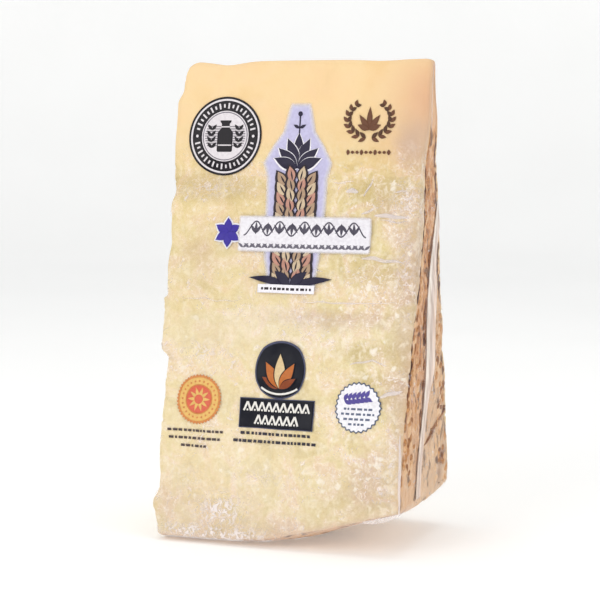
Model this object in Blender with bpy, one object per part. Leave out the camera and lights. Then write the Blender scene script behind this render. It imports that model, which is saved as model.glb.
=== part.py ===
# A chunk of hard grating cheese in clear shrunk film: a wedge cut from half a wheel, standing on its rim.
# Metres, +Z up. The broad cut face looks to -Y, the rind of the wheel's flat side to +X, the thin tip is up.
# The outer form of the film and the cheese in it is one closed solid, with the pouch's seal fused to the rind.

import math

import bmesh
import bpy
import numpy as np

MM = 0.001

# Driving dimensions of the wedge
WIDTH = 107.4 * MM  # along the rim, from the cut side to the rind side
HEIGHT = 200.0 * MM  # along the wheel's radius, from the rim to the tip
RIM_THICKNESS = 77.4 * MM
TIP_THICKNESS = 8.7 * MM
EDGE_RADIUS = 2.2 * MM  # how round the film pulls the edges
TIP_CORNER_RADIUS = 7.0 * MM  # the worn corner of the tip on the cut side
TIP_RISE = 0.8 * MM  # how far the film stands above the tip between its dips

# The curved rim that the chunk stands on
RIM_LIFT = 2.0 * MM  # lowest point of the cut face's rim edge above the resting plane
RIM_SLOPE = 0.28  # how steeply the wheel's rounded shoulder climbs towards the rind side
SHOULDER_START = 50.0 * MM
SHOULDER_BLEND = 14.0 * MM
BELLY = 6.2 * MM  # how far the rim bulges below its edges, before the flat that the chunk rests on
SIDE_BELLY = 1.9 * MM  # the same at the rind side

# Broken relief of the faces
BAND_STEP = 18.6 * MM  # spacing of the ledges across the cut faces
BAND_TOP = 154.0 * MM
BAND_DEPTH = 0.8 * MM
SWELL_DEPTH = 0.7 * MM
CRAG_DEPTH = 0.45 * MM
RIND_DEPTH = 0.5 * MM
CUT_SIDE_OUT = 0.7 * MM  # the cut side as a whole
SLAB_LOW = 77.5 * MM  # a slab of paste that stands out of the cut side
SLAB_HIGH = 101.5 * MM
SLAB_OUT = 3.5 * MM
SHELF_OUT = 2.4 * MM  # the cut side above the slab
NOTCH_HEIGHT = 146.0 * MM
NOTCH_DEPTH = 1.4 * MM
TOE_HEIGHT = 15.5 * MM
TOE_OUT = 2.4 * MM
RIND_OUT = 0.5 * MM
TIP_FLARE = 1.3 * MM  # how far the film spreads past the rind side at the tip

# The pouch's seal, a flap of doubled film that lies along the rind side and crosses the rear edge
SEAL_WIDTH = 6.0 * MM
SEAL_PROUD = 0.9 * MM
SEAL_LIFT = 2.0 * MM  # how far its free edge stands off the rind half way up
SEAL_ROOT = 2.0 * MM  # how deep the solid seal is set into the rind
SEAL_FOOT = 21.0 * MM
SEAL_TOP = 197.0 * MM
SEAL_START = -17.5 * MM  # its root at the foot, measured across the rind side from the middle
SEAL_FIRST_CLIMB = 13.5 * MM
SEAL_SECOND_CLIMB = 20.0 * MM

# Facets
COLUMNS, LAYERS, ROWS = 24, 10, 42
SEAL_ROWS = 30
INNER = 0.86  # share of each direction that lies between the rounded edges


def clear_scene():
    for thing in list(bpy.data.objects):
        bpy.data.objects.remove(thing)


def collection(name):
    made = bpy.data.collections.new(name)
    bpy.context.scene.collection.children.link(made)
    return made


def material(name, colour, roughness, coat):
    made = bpy.data.materials.new(name)
    made.use_nodes = True
    shader = made.node_tree.nodes["Principled BSDF"]
    shader.inputs["Base Color"].default_value = (*colour, 1.0)
    shader.inputs["Roughness"].default_value = roughness
    shader.inputs["Metallic"].default_value = 0.0
    shader.inputs["Coat Weight"].default_value = coat
    return made


def cut_block(name, lines, owner):
    """A cube from -1 to 1, cut right through at each place in lines, which holds one list for each axis."""
    bm = bmesh.new()
    bmesh.ops.create_cube(bm, size=2.0)
    for axis, places in enumerate(lines):
        normal = [float(axis == side) for side in range(3)]
        for place in places:
            bmesh.ops.bisect_plane(
                bm,
                geom=bm.verts[:] + bm.edges[:] + bm.faces[:],
                plane_co=[place * part for part in normal],
                plane_no=normal,
            )
    mesh = bpy.data.meshes.new(name)
    bm.to_mesh(mesh)
    bm.free()
    block = bpy.data.objects.new(name, mesh)
    owner.objects.link(block)
    return block


def even_lines(count):
    """Evenly spaced cuts inside -1 to 1."""
    return np.linspace(-1, 1, count + 1)[1:-1]


def edged_lines(count):
    """Even cuts over the inner share, and one more in the middle of each rounded edge."""
    half_way = (1 + INNER) / 2
    return np.concatenate([[-half_way], np.linspace(-INNER, INNER, count + 1), [half_way]])


def points_of(block):
    flat = np.empty(len(block.data.vertices) * 3)
    block.data.vertices.foreach_get("co", flat)
    return flat.reshape(-1, 3)


def put_points(block, points):
    block.data.vertices.foreach_set("co", points.ravel())
    block.data.update()


def stretch(share, half, radius):
    """-1 to 1 becomes -half to half, with the outer shares taking up exactly the rounded edge."""
    inside = np.abs(share) <= INNER
    flat = np.abs(share) / INNER * (half - radius)
    edge = half - radius + (np.abs(share) - INNER) / (1 - INNER) * radius
    return np.sign(share) * np.where(inside, flat, edge)


def smooth(value, low, high):
    """0 below low, 1 above high, and an even S between them."""
    share = np.clip((value - low) / (high - low), 0, 1)
    return share * share * (3 - 2 * share)


def window(value, low, high, soft):
    return smooth(value, low - soft, low + soft) - smooth(value, high - soft, high + soft)


def hump(value, middle, reach):
    """1 in the middle, falling evenly to almost nothing at twice the reach."""
    return np.exp(-(((value - middle) / reach) ** 2))


def swell(a, b, size, start):
    """Uneven hills and hollows about size across, the sum of four slanted waves, from about -1 to 1."""
    total = 0
    for wave in range(4):
        angle = start + 2.4 * wave
        length = size * (1 + 0.27 * wave)
        along = a * math.cos(angle) + b * math.sin(angle)
        total = total + np.sin(2 * math.pi * along / length + 1.9 * start + 1.3 * wave)
    return total / 2.6


def half_thickness(z):
    return (RIM_THICKNESS + (TIP_THICKNESS - RIM_THICKNESS) * z / HEIGHT) / 2


def rim_edge(x):
    """Height of the rim along a cut face: level, then climbing the wheel's rounded shoulder."""
    past = x - SHOULDER_START
    return RIM_LIFT + RIM_SLOPE * (np.hypot(past, SHOULDER_BLEND) + past) / 2


def tip_edge(x):
    """Height of the tip: level but for two shallow dips, and worn round at its corner on the cut side."""
    wave = TIP_RISE - 1.6 * MM * hump(x, 19 * MM, 9 * MM) - 0.6 * MM * hump(x, 88 * MM, 10 * MM)
    short = np.clip(TIP_CORNER_RADIUS - x, 0, TIP_CORNER_RADIUS)
    worn = TIP_CORNER_RADIUS - np.sqrt(TIP_CORNER_RADIUS**2 - short**2)
    return HEIGHT + wave - worn


def rounded(points, low, high, radius):
    """Points in the band of width radius inside the box low to high, moved onto its rounded edges."""
    radius = np.minimum(radius, (high - low) / 2)
    out = points - np.clip(points, low + radius, high - radius)
    length = np.linalg.norm(out, axis=1, keepdims=True)
    largest = np.abs(out).max(axis=1, keepdims=True)
    return points - out + out * largest / np.maximum(length, 1e-9)


def cut_face_relief(x, z, start):
    """Ledges where the paste broke in steps, over broad swells and smaller crags that fade near the tip."""
    step = (BAND_TOP - z) / BAND_STEP + 0.25 * swell(x, z, 70 * MM, start)
    saw = step - np.floor(step)
    ledge = np.where(saw < 0.85, saw / 0.85, (1 - saw) / 0.15) - 0.5
    rough = 1 - smooth(z, 150 * MM, 172 * MM)
    uneven = 0.65 + 0.35 * swell(x, z, 55 * MM, start + 2)
    return (
        BAND_DEPTH * ledge * uneven * rough
        + SWELL_DEPTH * swell(x, z, 62 * MM, start + 1) * (0.35 + 0.65 * rough)
        + CRAG_DEPTH * swell(x, z, 17 * MM, start + 3) * rough
    )


def cut_side_offset(z):
    """How far the cut side stands out at height z: toe, slab, shelf and notch from the rim up."""
    toe = TOE_OUT * hump(z, TOE_HEIGHT, 5 * MM)
    slab = SLAB_OUT * window(z, SLAB_LOW, SLAB_HIGH, 1.6 * MM)
    shelf = SHELF_OUT * window(z, SLAB_HIGH, 186 * MM, 3 * MM)
    notch = NOTCH_DEPTH * hump(z, NOTCH_HEIGHT, 3 * MM)
    return CUT_SIDE_OUT + toe + slab + shelf - notch


def rind_side_offset(y, z):
    """The rind side: film spread out at the tip, over shallow hollows."""
    hollows = RIND_DEPTH * (0.5 + 0.5 * swell(y, z, 26 * MM, 5.2))
    return RIND_OUT + TIP_FLARE * smooth(z, 155 * MM, 180 * MM) - hollows


def shape_wedge(block):
    share = points_of(block)

    # The plain wedge: a box whose thickness shrinks with height, with all its edges rounded
    x = WIDTH / 2 + stretch(share[:, 0], WIDTH / 2, EDGE_RADIUS)
    bottom, top = rim_edge(x), tip_edge(x)
    z = (bottom + top) / 2 + stretch(share[:, 2], (top - bottom) / 2, EDGE_RADIUS)
    half = half_thickness(z)
    y = stretch(share[:, 1], half, EDGE_RADIUS)
    low = np.stack([np.zeros_like(x), -half, bottom], axis=1)
    high = np.stack([np.full_like(x, WIDTH), half, top], axis=1)
    x, y, z = rounded(np.stack([x, y, z], axis=1), low, high, EDGE_RADIUS).T

    # The rim bulges below the cut faces' edges and is flat where it rests
    up = (z - bottom) / (top - bottom)
    through = y / half
    belly = BELLY + (SIDE_BELLY - BELLY) * smooth(x, 0.55 * WIDTH, WIDTH)
    under = np.maximum(bottom - belly * (1 - through**2), 0)
    z = under + (top - under) * up

    # The relief of the four sides, each fading out along the sides next to it
    deep = smooth(up, 0, 0.03)
    front = cut_face_relief(x, z, 0.4)
    back = cut_face_relief(x, z, 3.1)
    y = y + through * deep * np.where(y < 0, front, back)
    at_cut_side = np.clip(1 - x / (16 * MM), 0, 1) ** 2
    at_rind = np.clip(1 - (WIDTH - x) / (12 * MM), 0, 1) ** 2
    x = x - at_cut_side * deep * (cut_side_offset(z) + 0.5 * MM * swell(y, z, 24 * MM, 1.7))
    x = x + at_rind * deep * rind_side_offset(y, z)
    put_points(block, np.stack([x, y, z], axis=1))


def seal_root(z):
    """Where the flap leaves the rind side: two easy climbs from the front of the rim to past the rear edge."""
    first = SEAL_FIRST_CLIMB * smooth(z, 22 * MM, 78 * MM)
    return SEAL_START + first + SEAL_SECOND_CLIMB * smooth(z, 88 * MM, 165 * MM)


def around_rear_edge(across, z, proud):
    """x and y of a point this far across the rind side and on round its rear edge, proud of the surface."""
    flat = half_thickness(z) - EDGE_RADIUS
    turn = np.clip((across - flat) / EDGE_RADIUS, 0, math.pi / 2)
    past = np.maximum(across - flat - EDGE_RADIUS * math.pi / 2, 0)
    x = WIDTH - EDGE_RADIUS - past + (EDGE_RADIUS + proud) * np.cos(turn)
    y = np.minimum(across, flat) + (EDGE_RADIUS + proud) * np.sin(turn)
    return x, y


def shape_seal(block):
    share = points_of(block)
    z = SEAL_FOOT + (SEAL_TOP - SEAL_FOOT) * (share[:, 2] + 1) / 2
    width_share = (share[:, 1] + 1) / 2
    across = seal_root(z) + SEAL_WIDTH * width_share
    lift = SEAL_LIFT * window(z, 66 * MM, 112 * MM, 10 * MM) * width_share
    proud = np.where(share[:, 0] > 0, SEAL_PROUD + lift, -SEAL_ROOT)
    x, y = around_rear_edge(across, z, proud)
    put_points(block, np.stack([x, y, z], axis=1))


def join(block, other):
    """Fuses other into block and applies the result to block's own mesh."""
    union = block.modifiers.new("union", "BOOLEAN")
    union.operation = "UNION"
    union.solver = "EXACT"
    union.object = other
    bpy.context.view_layer.update()
    evaluated = block.evaluated_get(bpy.context.evaluated_depsgraph_get())
    fused = bpy.data.meshes.new_from_object(evaluated)
    block.modifiers.remove(union)
    block.data = fused
    bpy.data.objects.remove(other)


def stand_on_origin(block):
    """Moves the mesh so that the origin is below its middle, on the plane that it rests on."""
    points = points_of(block)
    low, high = points.min(axis=0), points.max(axis=0)
    put_points(block, points - [(low[0] + high[0]) / 2, (low[1] + high[1]) / 2, low[2]])


clear_scene()
chunk = collection("cheese_chunk")

wedge_lines = (edged_lines(COLUMNS), edged_lines(LAYERS), edged_lines(ROWS))
wedge = cut_block("wrapped_chunk", wedge_lines, chunk)
shape_wedge(wedge)

seal = cut_block("seal", (even_lines(1), even_lines(3), even_lines(SEAL_ROWS)), chunk)
shape_seal(seal)
join(wedge, seal)
stand_on_origin(wedge)

wedge.data.materials.clear()
wedge.data.materials.append(material("aged_cheese_under_film", (0.84, 0.70, 0.47), 0.32, 0.6))
wedge.data.shade_smooth()
wedge.data.set_sharp_from_angle(angle=math.radians(40))
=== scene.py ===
import math

import bpy
import numpy as np
from mathutils import Matrix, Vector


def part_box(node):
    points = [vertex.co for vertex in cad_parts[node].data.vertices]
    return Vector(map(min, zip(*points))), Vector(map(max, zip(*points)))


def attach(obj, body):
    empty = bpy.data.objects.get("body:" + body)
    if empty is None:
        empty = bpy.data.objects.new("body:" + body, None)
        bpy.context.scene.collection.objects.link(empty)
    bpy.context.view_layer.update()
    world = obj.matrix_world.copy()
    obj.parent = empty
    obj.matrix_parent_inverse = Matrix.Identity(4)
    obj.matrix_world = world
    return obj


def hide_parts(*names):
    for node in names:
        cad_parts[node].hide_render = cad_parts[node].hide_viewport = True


# A chunk of hard grating cheese in clear printed film, standing on its rim.
# Shapes are worked out in the wedge's own frame, in metres: x from the cut side to the rind side, y from
# the middle to the back, z up from the resting plane. The broad cut face looks to -y.

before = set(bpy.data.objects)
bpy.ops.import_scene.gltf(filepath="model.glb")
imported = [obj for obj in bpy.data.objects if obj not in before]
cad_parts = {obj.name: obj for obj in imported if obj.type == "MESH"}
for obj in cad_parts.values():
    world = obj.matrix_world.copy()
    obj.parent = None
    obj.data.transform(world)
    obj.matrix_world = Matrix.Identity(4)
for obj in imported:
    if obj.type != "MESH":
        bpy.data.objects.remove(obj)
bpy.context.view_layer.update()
mm = 0.001
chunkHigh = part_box("wrapped_chunk")[1]

wedge = {
    "width": 107.4 * mm,  # along the rim, from the cut side to the rind side
    "height": 200.0 * mm,  # along the wheel's radius, from the rim to the tip
    "rimThickness": 77.4 * mm,
    "tipThickness": 8.7 * mm,
    "edgeRadius": 2.2 * mm,
    "tipCorner": 7.0 * mm,  # radius of the worn corner of the tip
    "tipRise": 0.8 * mm,
    "rimLift": 2.0 * mm,  # cut face's rim edge above the resting plane
    "rimSlope": 0.28,  # climb of the wheel's rounded shoulder
    "shoulderStart": 50.0 * mm,
    "shoulderBlend": 14.0 * mm,
    "belly": 6.2 * mm,  # bulge of the rim below its edges
    "sideBelly": 1.9 * mm,
    "bandStep": 18.6 * mm,  # spacing of the ledges across the cut faces
    "bandTop": 154.0 * mm,
    "bandDepth": 0.8 * mm,
    "swellDepth": 0.7 * mm,
    "cragDepth": 0.45 * mm,
    "roughTop": (150 * mm, 172 * mm),  # the broken paste fades into the smooth tip between these heights
    "inner": 0.86,  # share of each direction between the rounded edges
    "middle": 0.15 * mm,  # how far the box's middle lies in front of the wedge's
}

cutSide = {
    "out": 0.7 * mm,
    "toe": (2.4 * mm, 15.5 * mm, 5 * mm),  # how far out, at what height, over what reach
    "slab": (3.5 * mm, 77.5 * mm, 101.5 * mm),  # how far out, from what height to what height
    "shelf": (2.4 * mm, 101.5 * mm, 186 * mm),
    "notch": (1.4 * mm, 146 * mm, 3 * mm),
    "swell": 0.5 * mm,
    "reach": 16 * mm,
}

rindSide = {
    "out": 0.5 * mm,
    "flare": 1.3 * mm,  # the film spreads past the rind side at the tip
    "hollows": 0.5 * mm,
    "reach": 12 * mm,
    # where the paste ends, in millimetres: heights, and how far round the corner onto the rind side
    "borderHeights": (33, 52, 84, 100, 123, 147, 161, 172, 184, 196),
    "borderPlaces": (-1.5, -0.9, 1.3, 4.4, 8.2, 7.6, 6.4, 5.6, 4.6, 4.0),
    "rearBorder": 1.5 * mm,
    # a strip of rind shows along the foot of the cut faces, but not near the cut side
    "rimPlaces": ((42 * mm, 60 * mm), (1.6 * mm, -0.4 * mm)),
}


def smooth(value, low, high):
    # 0 below low, 1 above high, and an even S between them
    share = np.clip((value - low) / (high - low), 0, 1)
    return share * share * (3 - 2 * share)


def between(value, low, high, soft):
    # 1 from low to high and 0 outside, with an even S at each end
    return smooth(value, low - soft, low + soft) - smooth(value, high - soft, high + soft)


def hump(value, middle, reach):
    # 1 in the middle, falling evenly to almost nothing at twice the reach
    return np.exp(-(((value - middle) / reach) ** 2))


def swell(a, b, size, start):
    # uneven hills about size across: the sum of four slanted waves, from about -1 to 1
    total = 0
    for wave in range(4):
        angle = start + 2.4 * wave
        length = size * (1 + 0.27 * wave)
        along = a * math.cos(angle) + b * math.sin(angle)
        total = total + np.sin(2 * math.pi * along / length + 1.9 * start + 1.3 * wave)
    return total / 2.6


def crumble(points, size, seed):
    # value noise: a random height at each corner of a lattice of this size, blended smoothly, -1 to 1
    cell = points / np.asarray(size) + 17.31 * seed
    low = np.floor(cell)
    part = cell - low
    part = part * part * (3 - 2 * part)
    total = 0
    for corner in range(8):
        step = np.array([corner & 1, corner >> 1 & 1, corner >> 2 & 1])
        mixed = np.sin((low + step) @ np.array([12.9898, 78.233, 37.719]) + seed) * 43758.5453
        weight = np.prod(np.where(step == 1, part, 1 - part), axis=-1)
        total = total + weight * (mixed - np.floor(mixed))
    return 2 * total - 1


def stretch(share, half):
    # -1 to 1 becomes -half to half, with the outer shares taking up exactly the rounded edge
    inner, radius = wedge["inner"], wedge["edgeRadius"]
    flat = np.abs(share) / inner * (half - radius)
    edge = half - radius + (np.abs(share) - inner) / (1 - inner) * radius
    return np.sign(share) * np.where(np.abs(share) <= inner, flat, edge)


def halfThickness(z):
    # half the wedge's thickness, which shrinks evenly from the rim to the tip
    return (wedge["rimThickness"] + (wedge["tipThickness"] - wedge["rimThickness"]) * z / wedge["height"]) / 2


def rimEdge(x):
    # height of the rim along a cut face: level, then climbing the wheel's rounded shoulder
    past = x - wedge["shoulderStart"]
    return wedge["rimLift"] + wedge["rimSlope"] * (np.hypot(past, wedge["shoulderBlend"]) + past) / 2


def tipEdge(x):
    # height of the tip: level but for two shallow dips, and worn round at its corner on the cut side
    wave = wedge["tipRise"] - 1.6 * mm * hump(x, 19 * mm, 9 * mm) - 0.6 * mm * hump(x, 88 * mm, 10 * mm)
    short = np.clip(wedge["tipCorner"] - x, 0, wedge["tipCorner"])
    return wedge["height"] + wave - wedge["tipCorner"] + np.sqrt(wedge["tipCorner"] ** 2 - short**2)


def roundedEdges(points, low, high):
    # points in the outer band of the box low to high, moved onto its rounded edges
    radius = np.minimum(wedge["edgeRadius"], (high - low) / 2)
    out = points - np.clip(points, low + radius, high - radius)
    length = np.linalg.norm(out, axis=1, keepdims=True)
    largest = np.abs(out).max(axis=1, keepdims=True)
    return points - out + out * largest / np.maximum(length, 1e-9)


def roughness(z):
    # 1 where the paste is broken, falling to 0 in the smooth tip
    return 1 - smooth(z, *wedge["roughTop"])


def bandOf(x, z, start):
    # which ledge a point of a cut face is on, counted down from the tip, with its share of the ledge
    step = (wedge["bandTop"] - z) / wedge["bandStep"] + 0.25 * swell(x, z, 70 * mm, start)
    return np.floor(step), step - np.floor(step)


def faceRelief(x, z, start):
    # ledges where the paste broke in steps, over broad swells and smaller crags that fade near the tip
    saw = bandOf(x, z, start)[1]
    ledge = np.where(saw < 0.85, saw / 0.85, (1 - saw) / 0.15) - 0.5
    rough = roughness(z)
    uneven = 0.65 + 0.35 * swell(x, z, 55 * mm, start + 2)
    return (
        wedge["bandDepth"] * ledge * uneven * rough
        + wedge["swellDepth"] * swell(x, z, 62 * mm, start + 1) * (0.35 + 0.65 * rough)
        + wedge["cragDepth"] * swell(x, z, 17 * mm, start + 3) * rough
    )


def cutSideOut(z):
    # how far the cut side stands out at height z: toe, slab, shelf and notch from the rim up
    out, height, reach = cutSide["toe"]
    total = cutSide["out"] + out * hump(z, height, reach)
    out, low, high = cutSide["slab"]
    total = total + out * between(z, low, high, 1.6 * mm)
    out, low, high = cutSide["shelf"]
    total = total + out * between(z, low, high, 3 * mm)
    out, height, reach = cutSide["notch"]
    return total - out * hump(z, height, reach)


def sideways(x, y, z):
    # how far the relief of the two narrow sides moves a point along x, fading out across the cut faces
    atCut = np.clip(1 - x / cutSide["reach"], 0, 1) ** 2
    atRind = np.clip(1 - (wedge["width"] - x) / rindSide["reach"], 0, 1) ** 2
    hollows = rindSide["hollows"] * (0.5 + 0.5 * swell(y, z, 26 * mm, 5.2))
    rindOut = rindSide["out"] + rindSide["flare"] * smooth(z, 155 * mm, 180 * mm) - hollows
    return atRind * rindOut - atCut * (cutSideOut(z) + cutSide["swell"] * swell(y, z, 24 * mm, 1.7))


# The film's own relief on the printed face
film = {
    # folds pulled level across the ledges: from x, to x, height, slope and how proud, in millimetres
    "tautLines": (
        (88, 104, 136.8, -0.04, 0.42),
        (83, 102, 119.6, -0.08, 0.45),
        (56, 99, 101.4, 0.02, 0.35),
        (82, 97, 77.6, 0.03, 0.30),
        (96, 105, 66.0, 0.20, 0.45),
        (4, 34, 100.6, 0.02, 0.30),
        (3, 30, 78.8, -0.02, 0.25),
        (8, 40, 119.0, 0.03, 0.22),
    ),
    "tautWidth": 0.75 * mm,
    "grain": ((6.5 * mm, 0.16 * mm), (3.0 * mm, 0.09 * mm)),  # size and height of the lumps felt through it
    # where it lies in fine white creases: x, z, reach along x and along z in millimetres, and strength
    "frostSpots": (
        (29, 14, 10, 7, 1.2),
        (26, 5, 28, 3.5, 1.25),
        (14, 27, 7, 6, 0.3),
        (16, 79, 13, 4.5, 0.6),
        (15, 147, 14, 3, 0.5),
        (46, 29, 14, 4, 0.35),
        (102, 143, 6, 9, 0.75),
        (103, 116, 4, 18, 0.5),
        (101, 40, 5, 20, 0.3),
        (60, 93, 30, 5, 0.2),
    ),
    "creaseSize": 3.2 * mm,
    "creaseHeight": 0.3 * mm,
    "gap": 0.14 * mm,  # least room between the cheese and the film
    "rindGap": 0.6 * mm,
}


def tautFolds(x, z):
    # the sum of long narrow ridges, each a hump across its own slanted line
    total = 0
    for low, high, height, slope, proud in film["tautLines"]:
        line = height * mm + slope * (x - low * mm) + 0.5 * mm * swell(x, z, 15 * mm, height)
        ends = between(x, low * mm, high * mm, 2.5 * mm)
        total = total + proud * mm * ends * hump(z, line, film["tautWidth"])
    return total


def ovalSpots(rows, a, b):
    # the strongest of several soft ovals, each with its middle, its reach both ways and its strength
    total = 0
    for middleA, middleB, reachA, reachB, strength in rows:
        total = np.maximum(total, strength * hump(a / mm, middleA, reachA) * hump(b / mm, middleB, reachB))
    return total


def filmDetail(x, z, seed):
    # lumps felt through the film, and on the printed face its level folds and curly creases
    flat = np.stack([x, 0 * x, z], axis=-1)
    total = 0
    for size, height in film["grain"]:
        total = total + height * crumble(flat, size, seed)
    total = total * (0.25 + 0.75 * roughness(z))
    if seed == 1:
        ridge = 1 - np.abs(crumble(flat, film["creaseSize"], 5)) * 2.2
        creases = ovalSpots(film["frostSpots"], x, z) * np.clip(ridge, 0, 1)
        total = total + tautFolds(x, z) + film["creaseHeight"] * creases
    return total


def frontRelief(x, z):
    # the ledges of the printed face and the film's own detail, added up
    return faceRelief(x, z, 0.4) + filmDetail(x, z, 1)


def backRelief(x, z):
    # the same for the bare face at the back
    return faceRelief(x, z, 3.1) + filmDetail(x, z, 2)


def skin(share):
    # The film's outer surface from cube coordinates: a box whose thickness shrinks with height, its edges
    # rounded and its rim bulging to a flat, then pushed along y by the relief of the cut faces and along x
    # by the relief of the narrow sides. Also returns how deep each point lies in the rind.
    x = wedge["width"] / 2 + stretch(share[:, 0], wedge["width"] / 2)
    bottom, top = rimEdge(x), tipEdge(x)
    z = (bottom + top) / 2 + stretch(share[:, 2], (top - bottom) / 2)
    half = halfThickness(z)
    y = stretch(share[:, 1], half)
    low = np.stack([np.zeros_like(x), -half, bottom], axis=1)
    high = np.stack([np.full_like(x, wedge["width"]), half, top], axis=1)
    x, y, z = roundedEdges(np.stack([x, y, z], axis=1), low, high).T
    depth = rindDepth(x, y, z, half)
    up = (z - bottom) / (top - bottom)
    through = y / half
    flatter = smooth(x, 0.55 * wedge["width"], wedge["width"])
    belly = wedge["belly"] + (wedge["sideBelly"] - wedge["belly"]) * flatter
    under = np.maximum(bottom - belly * (1 - through**2), 0)
    z = under + (top - under) * up
    deep = smooth(up, 0, 0.03)
    y = y + through * deep * np.where(y < 0, frontRelief(x, z), backRelief(x, z))
    x = x + deep * sideways(x, y, z)
    return np.stack([x, y, z], axis=1), depth


def borderPlace(z):
    # how far round the corner onto the rind side the paste reaches at height z
    return mm * np.interp(z / mm, rindSide["borderHeights"], rindSide["borderPlaces"])


def rindDepth(x, y, z, half):
    # how far a point lies past the paste's border, round whichever corner is nearest: above 0 in the rind
    toRind = np.maximum(wedge["width"] - x, 0)
    toRim = np.maximum(z - rimEdge(x), 0)
    nearest = np.minimum(toRind, toRim)
    border = np.where(toRind < toRim, borderPlace(z), np.interp(x, *rindSide["rimPlaces"]))
    front = y + half - nearest - border
    rear = half - y - nearest - rindSide["rearBorder"]
    cut = x - np.minimum(toRim, toRind) - rindSide["rearBorder"]
    tip = tipEdge(x) - z - toRind - rindSide["rearBorder"]
    return np.minimum(np.minimum(front, rear), np.minimum(cut, tip))


def toFrame(points):
    # the wedge's own frame to the part's: the seal's free edge is the farthest point along x
    reach = wedge["width"] + seal["proud"] + seal["lift"]
    return points + np.array([chunkHigh.x - reach, wedge["middle"], 0])


seal = {
    "width": 6.0 * mm,
    "proud": 0.9 * mm,
    "lift": 2.0 * mm,  # how far its free edge stands off the rind half way up
    "foot": 21.0 * mm,
    "top": 197.0 * mm,
    "start": -17.5 * mm,
    "climbs": ((13.5 * mm, 22 * mm, 78 * mm), (20.0 * mm, 88 * mm, 165 * mm)),
    "bare": 1.2 * mm,  # the clear part next to its root, which doesn't show, on its lower half
    "film": 0.24 * mm,  # two layers of film, welded
}


def sealRoot(z):
    # how far across the rind side the seal starts: near the front at the foot, climbing to the rear edge
    root = seal["start"]
    for climb, low, high in seal["climbs"]:
        root = root + climb * smooth(z, low, high)
    return root


def shellLattice(linesX, linesY, linesZ):
    # The skin of a box of lattice points: the points on its six sides, once each, and outward quads
    counts = (len(linesX), len(linesY), len(linesZ))
    inside = np.zeros(counts, bool)
    inside[1:-1, 1:-1, 1:-1] = True
    ids = np.full(counts, -1)
    ids[~inside] = np.arange((~inside).sum())
    spots = np.argwhere(~inside)
    share = np.stack([linesX[spots[:, 0]], linesY[spots[:, 1]], linesZ[spots[:, 2]]], axis=1)
    sides = (
        (ids[0, :, :], True), (ids[-1, :, :], False),
        (ids[:, 0, :], False), (ids[:, -1, :], True),
        (ids[:, :, 0], True), (ids[:, :, -1], False),
    )
    quads = []
    for sheet, turned in sides:
        ring = [sheet[:-1, :-1], sheet[1:, :-1], sheet[1:, 1:], sheet[:-1, 1:]]
        if turned:
            ring.reverse()
        quads.append(np.stack([corner.ravel() for corner in ring], axis=1))
    return share, np.concatenate(quads)


def edgedLines(count, edge, crowding=0.0):
    # lines over the inner share, crowded towards its low end, and a few more over each rounded edge
    inner = wedge["inner"]
    even = np.linspace(-1, 1, count + 1)
    outer = np.linspace(inner, 1, edge + 1)[1:]
    return np.concatenate([-outer[::-1], inner * (even - crowding * (1 - even**2)), outer])


def normalsOf(points, quads):
    # each point's normal: the sum of its quads' crossed diagonals, made one long
    first, second, third, fourth = (points[quads[:, corner]] for corner in range(4))
    crossed = np.cross(third - first, fourth - second)
    total = np.zeros_like(points)
    for corner in range(4):
        np.add.at(total, quads[:, corner], crossed)
    return total / np.linalg.norm(total, axis=1, keepdims=True)


def volumeOf(points, quads):
    # six times the volume inside: the triple products of each quad's two triangles, added up
    first, second, third, fourth = (points[quads[:, corner]] for corner in range(4))
    return (first * np.cross(second, third)).sum() + (first * np.cross(third, fourth)).sum()


def makePiece(name, points, quads, material, marks=None):
    # a mesh object in the part's frame, riding on the root, with its point attributes
    mesh = bpy.data.meshes.new(name)
    mesh.vertices.add(len(points))
    mesh.vertices.foreach_set("co", toFrame(points).astype(np.float32).ravel())
    mesh.loops.add(quads.size)
    mesh.loops.foreach_set("vertex_index", quads.astype(np.int32).ravel())
    mesh.polygons.add(len(quads))
    mesh.polygons.foreach_set("loop_start", np.arange(0, quads.size, 4, dtype=np.int32))
    mesh.update(calc_edges=True)
    mesh.validate()
    mesh.shade_smooth()
    for mark, values in (marks or {}).items():
        if values.ndim == 1:
            mesh.attributes.new(mark, "FLOAT", "POINT").data.foreach_set("value", values.astype(np.float32))
        else:
            colours = mesh.attributes.new(mark, "FLOAT_COLOR", "POINT").data
            colours.foreach_set("color", values.astype(np.float32).ravel())
    piece = bpy.data.objects.new(name, mesh)
    bpy.context.scene.collection.objects.link(piece)
    mesh.materials.append(material)
    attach(piece, "root")
    print(name, len(quads) * 2, "triangles")
    return piece


def linear(hexColour):
    # an sRGB hex value as linear red, green, blue and a full alpha
    parts = [int(hexColour[at : at + 2], 16) / 255 for at in (1, 3, 5)]
    return (*[part / 12.92 if part <= 0.04045 else ((part + 0.055) / 1.055) ** 2.4 for part in parts], 1.0)


def addNode(tree, made, name, kind, settings, inputs):
    # one node: settings are its properties, with ramp for a colour ramp's stops, and inputs are values, hex
    # colours or "node.Output" links to a node made before, named or else in the order of its sockets
    node = tree.nodes.new("ShaderNode" + kind)
    for key, value in settings.items():
        if key == "ramp":
            stops = node.color_ramp.elements
            while len(stops) < len(value):
                stops.new(1)
            for stop, (place, colour) in zip(stops, value):
                stop.position, stop.color = place, linear(colour)
        else:
            setattr(node, key, value)
    for key, value in inputs.items() if isinstance(inputs, dict) else enumerate(inputs):
        socket = node.inputs[key]
        if isinstance(value, str) and value[0] == "#":
            socket.default_value = linear(value)
        elif isinstance(value, str):
            source, output = value.split(".")
            tree.links.new(made[source].outputs[output], socket)
        else:
            socket.default_value = value
    made[name] = node


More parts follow.
